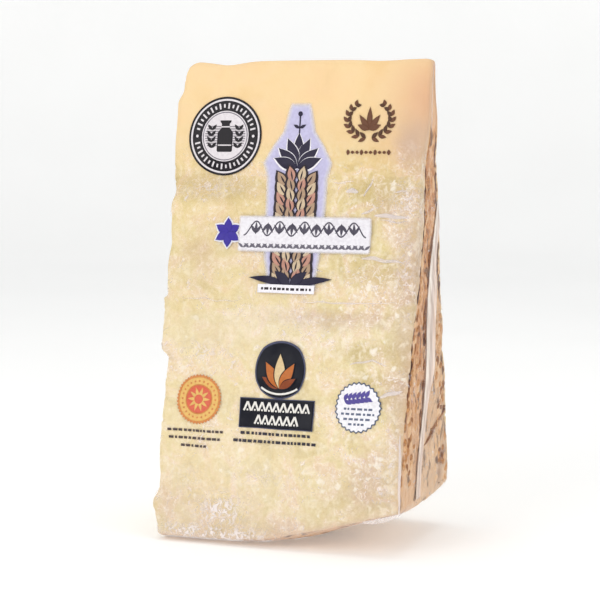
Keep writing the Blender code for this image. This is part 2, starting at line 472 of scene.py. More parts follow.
# settings that many nodes share
smoothly = {"interpolation_type": "SMOOTHSTEP"}
times, timesPlus, plus, minus, larger = (
    {"operation": word} for word in ("MULTIPLY", "MULTIPLY_ADD", "ADD", "SUBTRACT", "MAXIMUM")
)
darken = {"blend_type": "MULTIPLY"}


def makeMaterial(name, rows, shader):
    # a Principled material: its rows of nodes in order, then the shader's own inputs
    material = bpy.data.materials.new(name)
    material.use_nodes = True
    tree = material.node_tree
    tree.nodes.clear()
    made = {}
    for row in rows:
        addNode(tree, made, *row)
    addNode(tree, made, "shader", "BsdfPrincipled", {}, shader)
    addNode(tree, made, "out", "OutputMaterial", {}, {"Surface": "shader.BSDF"})
    print("material", name)
    return material


# Aged hard cheese, broken and cut: a dry straw paste, grainy, with small white crystals, and the brown
# natural rind, streaked along the wheel's side. The coat is the film pressed onto it.
cheeseMarks = (
    "rindDepth", "bandTone", "warmPatch", "olivePatch", "mauvePatch", "crystalBed", "broken", "behindSeal",
    "bruise", "spotStrip",
)
cheeseMaterial = makeMaterial(
    "agedHardCheese",
    [
        ("place", "TexCoord", {}, {}),
        *[(name, "Attribute", {"attribute_name": name}, {}) for name in cheeseMarks],
        # the paste: tones that change with height, clouded over 20 mm, with soft pale and dull blotches
        ("axes", "SeparateXYZ", {}, ("place.Object",)),
        ("clouds", "TexNoise", {}, {"Vector": "place.Object", "Scale": 46.0, "Detail": 3.0, "Roughness": 0.55}),
        ("wobbled", "Math", timesPlus, ("clouds.Fac", 0.04, "axes.Z")),
        ("height", "MapRange", {}, ("wobbled.Value", 0.02, 0.22)),
        ("ground", "ValToRGB", {"ramp": [
            (0.0, "#dac8ae"), (0.2, "#f0ddb7"), (0.47, "#ead8b2"), (0.6, "#e9d5a4"), (0.76, "#ecd2a0"),
            (0.94, "#f5d5a2"),
        ]}, ("height.Result",)),
        ("cloudTone", "ValToRGB", {"ramp": [
            (0.34, "#fcf4e6"), (0.5, "#ffffff"), (0.64, "#fff9f6"),
        ]}, ("clouds.Fac",)),
        ("paste1", "MixRGB", darken, (0.8, "ground.Color", "cloudTone.Color")),
        # ledges painted paler by turns: painted light on the broken steps
        ("bandShare", "Math", times, ("bandTone.Fac", 0.55)),
        ("paste1b", "MixRGB", {}, ("bandShare.Value", "paste1.Color", "#f1e3cf")),
        ("hues", "TexNoise", {},
         {"Vector": "place.Object", "Scale": 75.0, "Detail": 4.0, "Roughness": 0.62, "Distortion": 1.1}),
        ("hueTone", "ValToRGB", {"ramp": [
            (0.32, "#cdbf7c"), (0.43, "#e3d698"), (0.53, "#eedcb0"), (0.61, "#f0d3b8"), (0.7, "#dfd0cc"),
        ]}, ("hues.Fac",)),
        ("hueShare", "Math", timesPlus, ("broken.Fac", 0.36, 0.06)),
        ("paste2", "MixRGB", {}, ("hueShare.Value", "paste1b.Color", "hueTone.Color")),
        ("warmShare", "Math", times, ("warmPatch.Fac", 0.9)),
        ("paste3", "MixRGB", {}, ("warmShare.Value", "paste2.Color", "#e2b088")),
        # broad soft patches, their edges broken up by the same clouds: olive, a random tone that its patches
        # raise into painted shade under the ledges, and greyish mauve where the film stands off
        ("oliveBy", "Math", timesPlus, ("hues.Fac", -1.0, 0.5)),
        ("oliveMore", "Math", plus, ("olivePatch.Fac", "oliveBy.Value")),
        ("oliveShare", "MapRange", smoothly, ("oliveMore.Value", 0.1, 0.9, 0.0, 0.6)),
        ("paste4a", "MixRGB", {}, ("oliveShare.Result", "paste3.Color", "#c3ac72")),
        ("mauveBy", "Math", timesPlus, ("clouds.Fac", 1.0, -0.5)),
        ("mauveMore", "Math", plus, ("mauvePatch.Fac", "mauveBy.Value")),
        ("mauveShare", "MapRange", smoothly, ("mauveMore.Value", 0.08, 1.0, 0.0, 0.7)),
        ("paste4", "MixRGB", {}, ("mauveShare.Result", "paste4a.Color", "#c4a594")),
        ("upright", "Mapping", {}, {"Vector": "place.Object", "Scale": (340.0, 340.0, 250.0)}),
        ("clumps", "TexNoise", {},
         {"Vector": "upright.Vector", "Scale": 1.0, "Detail": 3.0, "Roughness": 0.58, "Distortion": 0.6}),
        ("pale", "MapRange", smoothly, ("clumps.Fac", 0.5, 0.68, 0.0, 0.42)),
        ("paleShare", "Math", times, ("pale.Result", "broken.Fac")),
        ("paste5", "MixRGB", {}, ("paleShare.Value", "paste4.Color", "#fbf0dc")),
        ("dull", "MapRange", smoothly, ("clumps.Fac", 0.47, 0.3, 0.0, 0.26)),
        ("dullShare", "Math", times, ("dull.Result", "broken.Fac")),
        ("paste6", "MixRGB", {}, ("dullShare.Value", "paste5.Color", "#dcc38c")),
        ("grain", "TexNoise", {}, {"Vector": "place.Object", "Scale": 800.0, "Detail": 2.0}),
        ("grainTone", "ValToRGB", {"ramp": [(0.3, "#eadfcd"), (0.6, "#ffffff")]}, ("grain.Fac",)),
        ("grainShare", "Math", timesPlus, ("broken.Fac", 0.3, 0.06)),
        ("paste7", "MixRGB", darken, ("grainShare.Value", "paste6.Color", "grainTone.Color")),
        # crystals: round white spots up to 3 mm, in one cell of five, more of them in the crystal bed
        ("bent", "MixRGB", {"blend_type": "LINEAR_LIGHT"}, (0.0022, "place.Object", "clumps.Color")),
        ("cells", "TexVoronoi", {}, {"Vector": "bent.Color", "Scale": 250.0, "Randomness": 1.0}),
        ("cellParts", "SeparateColor", {}, ("cells.Color",)),
        ("bedBonus", "MapRange", {}, ("crystalBed.Fac", 0.0, 1.0, 0.82, 0.45)),
        ("chosen", "Math", {"operation": "GREATER_THAN"}, ("cellParts.Red", "bedBonus.Result")),
        ("spotSize", "MapRange", {}, ("cellParts.Green", 0.0, 1.0, 0.15, 0.45)),
        ("spotEdge", "Math", minus, ("spotSize.Result", "cells.Distance")),
        ("spot", "MapRange", smoothly, ("spotEdge.Value", -0.03, 0.2)),
        ("spotChosen", "Math", times, ("spot.Result", "chosen.Value")),
        ("spotRough", "Math", times, ("spotChosen.Value", "broken.Fac")),
        ("spotShare", "Math", times, ("spotRough.Value", 0.55)),
        ("paste8", "MixRGB", {}, ("spotShare.Value", "paste7.Color", "#fcf4e6")),
        # curls: thin pale lines where a bent noise crosses its middle, 3 mm apart
        ("curlNoise", "TexNoise", {},
         {"Vector": "place.Object", "Scale": 270.0, "Detail": 2.0, "Roughness": 0.5, "Distortion": 1.6}),
        ("curlOff", "Math", minus, ("curlNoise.Fac", 0.5)),
        ("curlAway", "Math", {"operation": "ABSOLUTE"}, ("curlOff.Value",)),
        ("curl", "MapRange", smoothly, ("curlAway.Value", 0.035, 0.0, 0.0, 0.9)),
        ("curlPart", "MapRange", {}, ("hues.Fac", 0.44, 0.62)),
        ("curlHere", "Math", times, ("curl.Result", "curlPart.Result")),
        ("curlShare", "Math", times, ("curlHere.Value", "broken.Fac")),
        ("paste", "MixRGB", {}, ("curlShare.Value", "paste8.Color", "#faefe6")),
        # the rind: mottles 3 mm across and 4 mm tall over longer streaks, paler and dustier towards the back
        ("along", "Mapping", {}, {"Vector": "place.Object", "Scale": (360.0, 360.0, 260.0)}),
        ("mottles", "TexNoise", {},
         {"Vector": "along.Vector", "Scale": 1.0, "Detail": 5.0, "Roughness": 0.68, "Distortion": 0.4}),
        ("mottleTone", "ValToRGB", {"ramp": [
            (0.33, "#653a1e"), (0.41, "#ab6d3a"), (0.48, "#d0955a"), (0.56, "#e1b487"), (0.66, "#f1d9bb"),
        ]}, ("mottles.Fac",)),
        ("streakPlace", "Mapping", {}, {"Vector": "place.Object", "Scale": (230.0, 230.0, 45.0)}),
        ("streaks", "TexNoise", {},
         {"Vector": "streakPlace.Vector", "Scale": 1.0, "Detail": 3.0, "Roughness": 0.6}),
        ("streakTone", "ValToRGB", {"ramp": [
            (0.38, "#ad6632"), (0.5, "#d29462"), (0.62, "#e7bb94"),
        ]}, ("streaks.Fac",)),
        ("rind1", "MixRGB", {}, (0.6, "streakTone.Color", "mottleTone.Color")),
        ("behindShare", "Math", times, ("behindSeal.Fac", 0.38)),
        ("rind2a", "MixRGB", {}, ("behindShare.Value", "rind1.Color", "#dec39c")),
        ("lowShare", "MapRange", {}, ("axes.Z", 0.08, 0.02, 0.0, 0.6)),
        ("rind2b", "MixRGB", {}, ("lowShare.Result", "rind2a.Color", "#e8c9a6")),
        ("rind2", "MixRGB", {}, ("bruise.Fac", "rind2b.Color", "#7e5444")),
        ("blots", "TexNoise", {},
         {"Vector": "along.Vector", "Scale": 0.42, "Detail": 3.0, "Roughness": 0.6, "Distortion": 0.5}),
        ("blotMore", "Math", timesPlus, ("spotStrip.Fac", 0.11, "blots.Fac")),
        ("blotShare", "MapRange", smoothly, ("blotMore.Value", 0.56, 0.66, 0.0, 0.8)),
        ("rind3", "MixRGB", {}, ("blotShare.Result", "rind2.Color", "#5a3620")),
        ("topShare", "MapRange", smoothly, ("axes.Z", 0.17, 0.176, 0.0, 0.75)),
        ("rind", "MixRGB", {}, ("topShare.Result", "rind3.Color", "#e6bf9a")),
        # the border between them, ragged by 1.5 mm, with a darker dried line
        ("ragged", "TexNoise", {}, {"Vector": "place.Object", "Scale": 330.0, "Detail": 3.0}),
        ("raggedBy", "MapRange", {}, ("ragged.Fac", 0.2, 0.8, -0.0012, 0.0012)),
        ("border", "Math", plus, ("rindDepth.Fac", "raggedBy.Result")),
        ("drying", "MapRange", smoothly, ("border.Value", -0.004, 0.0, 0.0, 0.5)),
        ("pasteDry", "MixRGB", {}, ("drying.Result", "paste.Color", "#dbb98f")),
        ("inRind", "MapRange", smoothly, ("border.Value", -0.00015, 0.00025)),
        ("cheese1", "MixRGB", {}, ("inRind.Result", "pasteDry.Color", "rind.Color")),
        ("lineNear", "MapRange", smoothly, ("border.Value", 0.0, 0.0004)),
        ("lineFar", "MapRange", smoothly, ("border.Value", 0.0034, 0.0016)),
        ("line1", "Math", times, ("lineNear.Result", "lineFar.Result")),
        ("lineBreaks", "MapRange", {}, ("blots.Fac", 0.44, 0.52, 0.0, 0.9)),
        ("line2", "Math", times, ("line1.Value", "lineBreaks.Result")),
        ("lineLow", "MapRange", {}, ("axes.Z", 0.176, 0.166)),
        ("lineFoot", "MapRange", {}, ("axes.Z", 0.035, 0.07, 0.3)),
        ("lineEnds", "Math", times, ("lineLow.Result", "lineFoot.Result")),
        ("line3", "Math", times, ("line2.Value", "lineEnds.Value")),
        ("cheese2", "MixRGB", {}, ("line3.Value", "cheese1.Color", "#54290e")),
        ("rindHeight", "Math", times, ("mottles.Fac", "inRind.Result")),
        ("bumpHeight1", "Math", timesPlus, ("rindHeight.Value", 3.0, "spotRough.Value")),
        ("bumpHeight2", "Math", plus, ("grain.Fac", "bumpHeight1.Value")),
        ("bump", "Bump", {}, {"Height": "bumpHeight2.Value", "Strength": 0.4, "Distance": 0.00025}),
    ],
    {
        "Base Color": "cheese2.Color",
        "Roughness": 0.5,
        "IOR": 1.45,
        "Specular IOR Level": 0.25,
        "Coat Weight": 0.05,
        "Coat Roughness": 0.22,
        "Normal": "bump.Normal",
    },
)

# Clear polyamide and polyethylene film, shrunk on: glossy, white where it creases or bridges, and flecked with
# small white glints as painted highlights
filmMaterial = makeMaterial(
    "clearShrinkFilm",
    [
        ("place", "TexCoord", {}, {}),
        ("veil", "Attribute", {"attribute_name": "veil"}, {}),
        ("frost", "Attribute", {"attribute_name": "frost"}, {}),
        ("rough", "Attribute", {"attribute_name": "broken"}, {}),
        # frost: crumpled white patches with creases 3 mm apart
        ("crumple", "TexNoise", {},
         {"Vector": "place.Object", "Scale": 330.0, "Detail": 3.0, "Roughness": 0.6, "Distortion": 1.4}),
        ("net", "TexVoronoi", {"feature": "DISTANCE_TO_EDGE"}, {"Vector": "place.Object", "Scale": 330.0}),
        ("netLine", "MapRange", {}, ("net.Distance", 0.1, 0.0, 0.0, 0.5)),
        ("netPatch", "MapRange", smoothly, ("crumple.Fac", 0.48, 0.58, 0.0, 0.9)),
        ("netBoth", "Math", larger, ("netLine.Result", "netPatch.Result")),
        ("frosted", "Math", times, ("netBoth.Value", "frost.Fac")),
        # glints: painted highlights, small white specks 2 mm across in loose groups on the broken paste
        ("glintNoise", "TexNoise", {},
         {"Vector": "place.Object", "Scale": 480.0, "Detail": 3.0, "Roughness": 0.55, "Distortion": 0.8}),
        ("glint", "MapRange", smoothly, ("glintNoise.Fac", 0.57, 0.68, 0.0, 0.6)),
        ("groups", "TexNoise", {}, {"Vector": "place.Object", "Scale": 75.0, "Detail": 2.0}),
        ("group", "MapRange", smoothly, ("groups.Fac", 0.46, 0.62)),
        ("glintGroup", "Math", times, ("glint.Result", "group.Result")),
        ("glintRough", "Math", times, ("glintGroup.Value", "rough.Fac")),
        ("white1", "Math", larger, ("frosted.Value", "glintRough.Value")),
        ("white2", "Math", larger, ("white1.Value", "veil.Fac")),
        ("clearness", "MapRange", {}, ("white2.Value", 0.0, 1.0, 0.03, 0.92)),
        ("bump", "Bump", {}, {"Height": "crumple.Fac", "Strength": 0.3, "Distance": 0.0002}),
    ],
    {
        "Base Color": "#f9f0ef",
        "Roughness": 0.16,
        "IOR": 1.5,
        "Specular IOR Level": 0.14,
        "Alpha": "clearness.Result",
        "Normal": "bump.Normal",
    },
)

print("lattice of the wedge")
lattice = {"x": (112, 4), "y": (62, 4, 0.3), "z": (180, 4)}  # lines, lines over an edge, crowding to the front
share, quads = shellLattice(*[edgedLines(*counts) for counts in lattice.values()])
skinPoints, skinDepth = skin(share)
skinNormals = normalsOf(skinPoints, quads)
x, y, z = skinPoints.T
onFront = smooth(-y / halfThickness(z), 0.40, 0.65)

cheese = {
    "pits": ((4.5 * mm, 0.45 * mm, 11), (2.6 * mm, 0.25 * mm, 12)),  # size, depth and seed of the paste's pits
    "cracks": (9 * mm, 0.5 * mm, 13),
    # the rind's grooves: width, length, depth, seed
    "grooves": ((2.2 * mm, 9 * mm, 0.55 * mm, 14), (5 * mm, 16 * mm, 0.5 * mm, 15)),
    # how pale each ledge is painted: painted light on the broken steps
    "bandPaintedLights": (0.0, 0.1, 0.35, 0.0, 0.95, 0.1, 0.35, 0.5, 0.3),  # how pale each ledge is, from the tip down
    # patches of tone on the printed face, the olive ones painted shade under the ledges: x, z, reach along x
    # and along z in millimetres, and strength
    "olive": (
        (16, 148, 26, 7, 1.15),
        (92, 146, 20, 8, 1.0),
        (90, 113, 20, 8, 0.8),
        (92, 82, 18, 5, 0.75),
        (94, 71, 16, 4, 0.75),
        (12, 106, 16, 5, 0.4),
        (60, 40, 20, 6, 0.3),
    ),
    "mauve": (
        (103, 166, 10, 14, 1.0),
        (14, 112, 30, 28, 0.35),
        (98, 138, 14, 6, 0.6),
        (107, 120, 12, 30, 1.0),
        (108, 60, 11, 45, 0.95),
        (74, 95, 34, 5.5, 0.65),
        (50, 6, 60, 9, 0.6),
        (4, 16, 14, 14, 0.45),
        (96, 28, 24, 20, 0.65),
    ),
    # the slanting crack across the rind side: from y, to y, height, slope, reach
    "slant": (5 * mm, 26 * mm, 42.8 * mm, 0.42, 1.9 * mm),
    "warm": ((110, 184, 16, 18, 1.0), (102, 166, 18, 13, 0.45)),
    # dark bruises on the rind side: y, z and reach both ways in millimetres, and strength
    "bruises": (
        (23, 32, 7, 4, 1.0),
        (19, 25, 4, 4, 0.6),
        (30, 43, 4, 7, 0.5),
    ),
}


def slantingCrack(y, z):
    # a soft dark line that climbs across the rind side
    low, high, height, slope, reach = cheese["slant"]
    return 0.75 * between(y, low, high, 2 * mm) * hump(z - slope * (y - low), height, reach)


# The cheese's depth below the film: pits, thin cracks where a noise crosses zero, and grooves in the rind
inRind = smooth(skinDepth, -0.3 * mm, 0.3 * mm)
rough = roughness(z)
pits = 0
for size, depth, seed in cheese["pits"]:
    pits = pits + depth * np.clip(crumble(skinPoints, size, seed), 0, 1)
size, depth, seed = cheese["cracks"]
pits = pits + depth * np.clip(1 - np.abs(crumble(skinPoints, size, seed)) / 0.09, 0, 1)
grooves = 0
for width, length, depth, seed in cheese["grooves"]:
    grooves = grooves + depth * np.clip(crumble(skinPoints, (width, width, length), seed), 0, 1)
below = film["gap"] + (1 - inRind) * pits * (0.08 + 0.92 * rough)
below = below + inRind * (film["rindGap"] - film["gap"] + grooves)
cheesePoints = skinPoints - skinNormals * below[:, None]

# each ledge's painted light: some steps are painted paler, as if they caught more light
bandNumber = bandOf(x, z, 0.4)[0]
bandTone = np.array(cheese["bandPaintedLights"])[np.clip(bandNumber + 1, 0, 8).astype(int)]
nearRind = smooth(x, 100 * mm, 104 * mm)
pastRoot = y - sealRoot(z)
marks = {
    "rindDepth": skinDepth,
    "broken": rough * (0.8 + 0.45 * smooth(x, 40 * mm, 95 * mm)),
    "bandTone": bandTone * rough * (0.45 + 0.55 * smooth(x, 12 * mm, 40 * mm)),
    "warmPatch": ovalSpots(cheese["warm"], x, z),
    # olive patches of painted shade, on the printed face only
    "olivePatch": onFront * ovalSpots(cheese["olive"], x, z),
    "mauvePatch": onFront * ovalSpots(cheese["mauve"], x, z),
    "bruise": nearRind * np.maximum(ovalSpots(cheese["bruises"], y, z), slantingCrack(y, z)),
    "behindSeal": smooth(pastRoot, 1 * mm, 14 * mm) * (1 - smooth(z, 120 * mm, 145 * mm)),
    # darker blots beside the seal, in an oval near the rear edge and along the border
    "spotStrip": hump(pastRoot, 9.5 * mm, 3.5 * mm) * between(z, 84 * mm, 172 * mm, 8 * mm)
    + ovalSpots(((33, 52, 6, 12, 0.6),), y, z)
    + 0.5 * hump(skinDepth, 1.5 * mm, 1.5 * mm) * between(z, 60 * mm, 150 * mm, 8 * mm),
    "crystalBed": np.clip(ovalSpots(((92, 30, 22, 26, 1.0),), x, z) + 0.6 * hump(x, 104 * mm, 10 * mm), 0, 1),
}
cheeseWedge = makePiece("cheeseWedge", cheesePoints, quads, cheeseMaterial, marks)
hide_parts("wrapped_chunk")

frost = ovalSpots(film["frostSpots"], x, z)
marks = {
    # the film bridges the foot's edge, and near the tip it stands off the corner of the rind
    "veil": 0.2 * onFront * hump(z, rimEdge(x) + 0.8 * mm, 1.4 * mm)
    + 0.35 * hump(skinDepth, 0.9 * mm, 0.7 * mm) * smooth(z, 168 * mm, 176 * mm) * nearRind,
    "frost": np.clip(frost * onFront + 0.1 * (1 - onFront) * (1 - smooth(z, 150 * mm, 175 * mm)), 0, 1),
    "broken": rough,
}
shrunkFilm = makePiece("shrunkFilm", skinPoints, quads, filmMaterial, marks)
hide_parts("wrapped_chunk")


def aroundRearEdge(across, z, proud):
    # x and y of a point this far across the rind side and on round its rear edge, proud of the surface
    radius = wedge["edgeRadius"]
    flat = halfThickness(z) - radius
    turn = np.clip((across - flat) / radius, 0, math.pi / 2)
    past = np.maximum(across - flat - radius * math.pi / 2, 0)
    x = wedge["width"] - radius - past + (radius + proud) * np.cos(turn)
    return x, np.minimum(across, flat) + (radius + proud) * np.sin(turn)


def closedRibbon(outer, inner):
    # a closed strip between two grids of points: both faces and the four edges round them
    rows, columns = outer.shape[:2]
    points = np.concatenate([outer.reshape(-1, 3), inner.reshape(-1, 3)])
    ids = np.arange(rows * columns).reshape(rows, columns)
    ring = [ids[:-1, :-1], ids[1:, :-1], ids[1:, 1:], ids[:-1, 1:]]
    face = np.stack([corner.ravel() for corner in ring], axis=1)
    rim = np.concatenate([ids[:-1, 0], ids[-1, :-1], ids[:0:-1, -1], ids[0, :0:-1]])
    after = np.roll(rim, -1)
    walls = np.stack([rim, rim + ids.size, after + ids.size, after], axis=1)
    quads = np.concatenate([face, face[:, ::-1] + ids.size, walls])
    if volumeOf(points, quads) < 0:
        quads = quads[:, ::-1]
    return points, quads


class Strips:
    # gathers closed strips into one mesh, with each strip's own marks
    def __init__(self):
        self.points, self.quads, self.marks, self.count = [], [], {}, 0

    def add(self, outer, inner, **marks):
        # one strip, with a value for each of its marks or one for each of its points
        points, quads = closedRibbon(outer, inner)
        self.points.append(points)
        self.quads.append(quads + self.count)
        self.count += len(points)
        for mark, value in marks.items():
            if np.ndim(value) == 0:
                value = np.full(len(points), float(value))
            self.marks.setdefault(mark, []).append(value)

    def piece(self, name, material, slot):
        # the strips one after another as one mesh, and their marks in the same order
        marks = {mark: np.concatenate(values) for mark, values in self.marks.items()}
        return makePiece(name, np.concatenate(self.points), np.concatenate(self.quads), material, marks)


# Flakes and ridges of dried crust that stand on the rind: small domes, longer than wide, some leaning. The two
# rows along the seal are dark flakes laid as painted shadow.
# Rows: along which line, how far past it and how unevenly, from height to height, how many, how long and
# how wide, lean across for each step up, and the tones from darkest to lightest; lengths in millimetres
flakeSettings = {
    "rows": (
        ("border", 0.9, 0.4, 66, 152, 15, 7.5, 1.7, 0.0, 0.1, 0.35),
        ("border", 1.6, 0.8, 30, 66, 7, 5.0, 1.8, 0.0, 0.5, 0.85),
        ("border", 1.8, 0.5, 132, 172, 7, 10.0, 2.2, 0.0, 0.55, 0.75),
        ("border", 4.2, 2.4, 34, 150, 46, 5.0, 3.1, 0.05, 0.5, 1.3),
        ("border", 11.0, 5.0, 30, 78, 20, 4.0, 3.6, 0.05, 0.55, 1.25),
        # the next two rows are painted shadow: dark flakes along the seal's root, and where its lifted free
        # edge casts its shadow
        ("seal", -0.2, 0.3, 50, 116, 9, 8.0, 1.3, 0.0, 0.25, 0.5),
        ("seal", 14.0, 0.8, 66, 112, 8, 7.0, 1.7, 0.0, 0.2, 0.45),
        ("rear", -8.0, 6.0, 50, 90, 36, 4.2, 4.6, 0.3, 0.4, 1.25),
        ("rear", -5.0, 4.0, 92, 150, 12, 6.0, 2.8, 0.0, 0.6, 1.15),
        ("rear", -0.6, 0.3, 148, 174, 6, 4.5, 1.7, 0.0, 0.0, 0.2),
        ("streak", 0.0, 1.6, 42, 53, 12, 3.0, 5.0, 1.6, 0.3, 0.6),
        ("rear", -11.0, 9.0, 16, 48, 16, 4.5, 3.8, 0.1, 0.75, 1.25),
        ("rear", -10.5, 3.5, 29, 36, 7, 3.6, 4.4, 0.0, 0.4, 0.65),
    ),
    "streak": (3.7 * mm, 42.3 * mm, 2.4),  # a slanting crack: y at this height, and its lean
    "top": 0.2 * mm,  # least depth of a flake's top below the film
    "sunk": 1.1 * mm,  # depth of its edge
    "root": 1.4 * mm,
}

# the flakes' colour: dried crust, and on the two rows along the seal, painted shadow
flakeMaterial = makeMaterial(
    "driedCrustAndShadowFlakes",
    [
        ("place", "TexCoord", {}, {}),
        ("tone", "Attribute", {"attribute_name": "tone"}, {}),
        ("flecks", "TexNoise", {}, {"Vector": "place.Object", "Scale": 650.0, "Detail": 3.0, "Roughness": 0.6}),
        ("flecked", "Math", timesPlus, ("flecks.Fac", 0.7, "tone.Fac")),
        ("centred", "Math", minus, ("flecked.Value", 0.35)),
        ("colour", "ValToRGB", {"ramp": [
            (0.0, "#32160a"), (0.25, "#5e3014"), (0.5, "#96602f"), (0.75, "#c68d55"), (1.0, "#e6bf94"),
        ]}, ("centred.Value",)),
        ("bump", "Bump", {}, {"Height": "flecks.Fac", "Strength": 0.4, "Distance": 0.0002}),
    ],
    {
        "Base Color": "colour.Color",
        "Roughness": 0.5,
        "IOR": 1.45,
        "Specular IOR Level": 0.2,
        "Normal": "bump.Normal",
    },
)


def flakeLine(name, z):
    # how far across the rind side each of the lines runs at height z
    if name == "border":
        return borderPlace(z) - halfThickness(z)
    if name == "streak":
        across, height, lean = flakeSettings["streak"]
        return across + lean * (z - height)
    return sealRoot(z) if name == "seal" else halfThickness(z)


def rindSkin(across, z, proud):
    # the film's point this far across the rind side, round its nearer edge too, proud of the surface
    x, y = aroundRearEdge(np.abs(across), z, proud)
    y = np.sign(across) * y
    through = y / halfThickness(z)
    relief = np.where(y < 0, frontRelief(x, z), backRelief(x, z))
    return np.stack([x + sideways(x, y, z), y + through * relief, z], axis=-1)


draw = np.random.default_rng(77)
ups, sides = np.meshgrid(np.linspace(-1, 1, 12), np.linspace(-1, 1, 7), indexing="ij")
dome = np.sqrt(np.clip((1 - ups**2) * (1 - sides**2), 0, 1))
depth = flakeSettings["top"] + (flakeSettings["sunk"] - flakeSettings["top"]) * (1 - dome)
flakes = Strips()
for line, past, spread, low, high, number, length, width, lean, dark, light in flakeSettings["rows"]:
    heights = np.linspace(low, high, number) + draw.uniform(-0.5, 0.5, number) * (high - low) / number
    for height in heights * mm:
        long, wide = draw.uniform(0.6, 1.3, 2) * (length * mm, width * mm)
        z = np.clip(height + long / 2 * ups, seal["foot"], 175 * mm)
        ragged = 1 + 0.5 * crumble(np.stack([sides, 0 * ups, z / mm], axis=-1), (2, 1, 1.4), 41)
        wander = 0.5 * mm * crumble(np.stack([0 * z, 0 * z, z], axis=-1), 3 * mm, 42)
        off = (past + draw.uniform(-spread, spread)) * mm + lean * (z - height) + wander
        start = flakeLine(line, height if line == "rear" else z)
        across = start + off + wide / 2 * sides * ragged * np.sqrt(1.02 - ups**2)
        bottom = rindSkin(across, z, np.full_like(z, -flakeSettings["root"]))
        flakes.add(rindSkin(across, z, -depth), bottom, tone=draw.uniform(dark, light))
rindFlakes = flakes.piece("rindFlakes", flakeMaterial, "cheese_rind")
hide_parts("wrapped_chunk")

# Two layers of film welded together: milky, creased along its length, its edges painted bright as highlights
sealMaterial = makeMaterial(
    "weldedFilmSeal",
    [
        ("place", "TexCoord", {}, {}),
        ("across", "Attribute", {"attribute_name": "across"}, {}),
        # across the seal: both edges painted near white as highlights, the middle greyer
        ("tone", "ValToRGB", {"ramp": [
            (0.0, "#fff8ee"), (0.24, "#fff4e8"), (0.4, "#e2d2c8"), (0.62, "#e8d7cc"), (0.8, "#ffe9da"),
            (1.0, "#fff2e6"),
        ]}, ("across.Fac",)),
        ("along", "Mapping", {}, {"Vector": "place.Object", "Scale": (700.0, 700.0, 60.0)}),
        ("fibre", "TexNoise", {}, {"Vector": "along.Vector", "Scale": 1.0, "Detail": 3.0}),
        ("fibreTone", "ValToRGB", {"ramp": [(0.35, "#e6dad2"), (0.6, "#ffffff")]}, ("fibre.Fac",)),
        ("colour", "MixRGB", darken, (0.6, "tone.Color", "fibreTone.Color")),
        ("spot", "SeparateXYZ", {}, ("place.Object",)),
        ("low", "MapRange", {}, ("spot.Z", 0.03, 0.08, 0.35, 0.0)),
        ("warmed", "MixRGB", darken, ("low.Result", "colour.Color", "#f6dcc6")),
        ("clearness", "MapRange", {}, ("fibre.Fac", 0.3, 0.7, 0.75, 1.0)),
        ("bump", "Bump", {}, {"Height": "fibre.Fac", "Strength": 0.4, "Distance": 0.0002}),
    ],
    {
        "Base Color": "warmed.Color",
        "Roughness": 0.22,
        "IOR": 1.5,
        "Alpha": "clearness.Result",
        "Normal": "bump.Normal",
    },
)

# The seal lies along the rind side, root towards the front, and its free edge lifts half way up
rows, columns = 240, 13
z, across = np.meshgrid(np.linspace(seal["foot"], seal["top"], rows), np.linspace(0, 1, columns), indexing="ij")
bare = seal["bare"] * (1 - smooth(z, 90 * mm, 116 * mm))
root = sealRoot(z) + bare
lift = seal["lift"] * between(z, 66 * mm, 112 * mm, 10 * mm) * across
waves = 0.12 * mm * crumble(np.stack([across * 4 * mm, 0 * z, z], axis=-1), 5 * mm, 21)
sheets = []
for inward in (0, seal["film"]):
    proud = 0.30 * mm + 0.30 * mm * np.sqrt(across) + lift + waves - inward
    sealX, sealY = aroundRearEdge(root + (seal["width"] - bare) * across, z, proud)
    sheets.append(np.stack([sealX, sealY, z], axis=-1))
weld = Strips()
weld.add(*sheets, across=np.tile(across.ravel(), 2))
sealFlap = weld.piece("sealFlap", sealMaterial, "sealed_film")
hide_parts("wrapped_chunk")

# Printed fields

printMaterial = makeMaterial(
    "flexoPrintInk",
    [
        ("place", "TexCoord", {}, {}),
        ("ink", "Attribute", {"attribute_name": "ink"}, {}),
        ("cover", "Attribute", {"attribute_name": "cover"}, {}),
        ("wear", "TexNoise", {}, {"Vector": "place.Object", "Scale": 900.0, "Detail": 2.0}),
        ("wearTone", "ValToRGB", {"ramp": [(0.3, "#e2dfe2"), (0.62, "#ffffff")]}, ("wear.Fac",)),
        ("colour", "MixRGB", darken, (0.5, "ink.Color", "wearTone.Color")),
    ],
    {
        "Base Color": "colour.Color",
        "Roughness": 0.32,
        "IOR": 1.5,
        "Specular IOR Level": 0.2,
        "Alpha": "cover.Fac",
    },
)


def frontSkin(x, z, proud):
    # the point of the printed face at this x and height, this far proud of the film
    start = x
    for again in range(6):
        start = x - sideways(start, -halfThickness(z), z)
    up = (z - rimEdge(start)) / (tipEdge(start) - rimEdge(start))
    y = -halfThickness(z) - smooth(up, 0, 0.03) * frontRelief(start, z) - proud
    return np.stack([x, y, z], axis=-1)


printed = {
    "firstLayer": 0.10 * mm,  # how proud of the film the lowest ink lies
    "layer": 0.035 * mm,
    "thickness": 0.03 * mm,
    "spacing": 0.55 * mm,  # between a mark's points
}


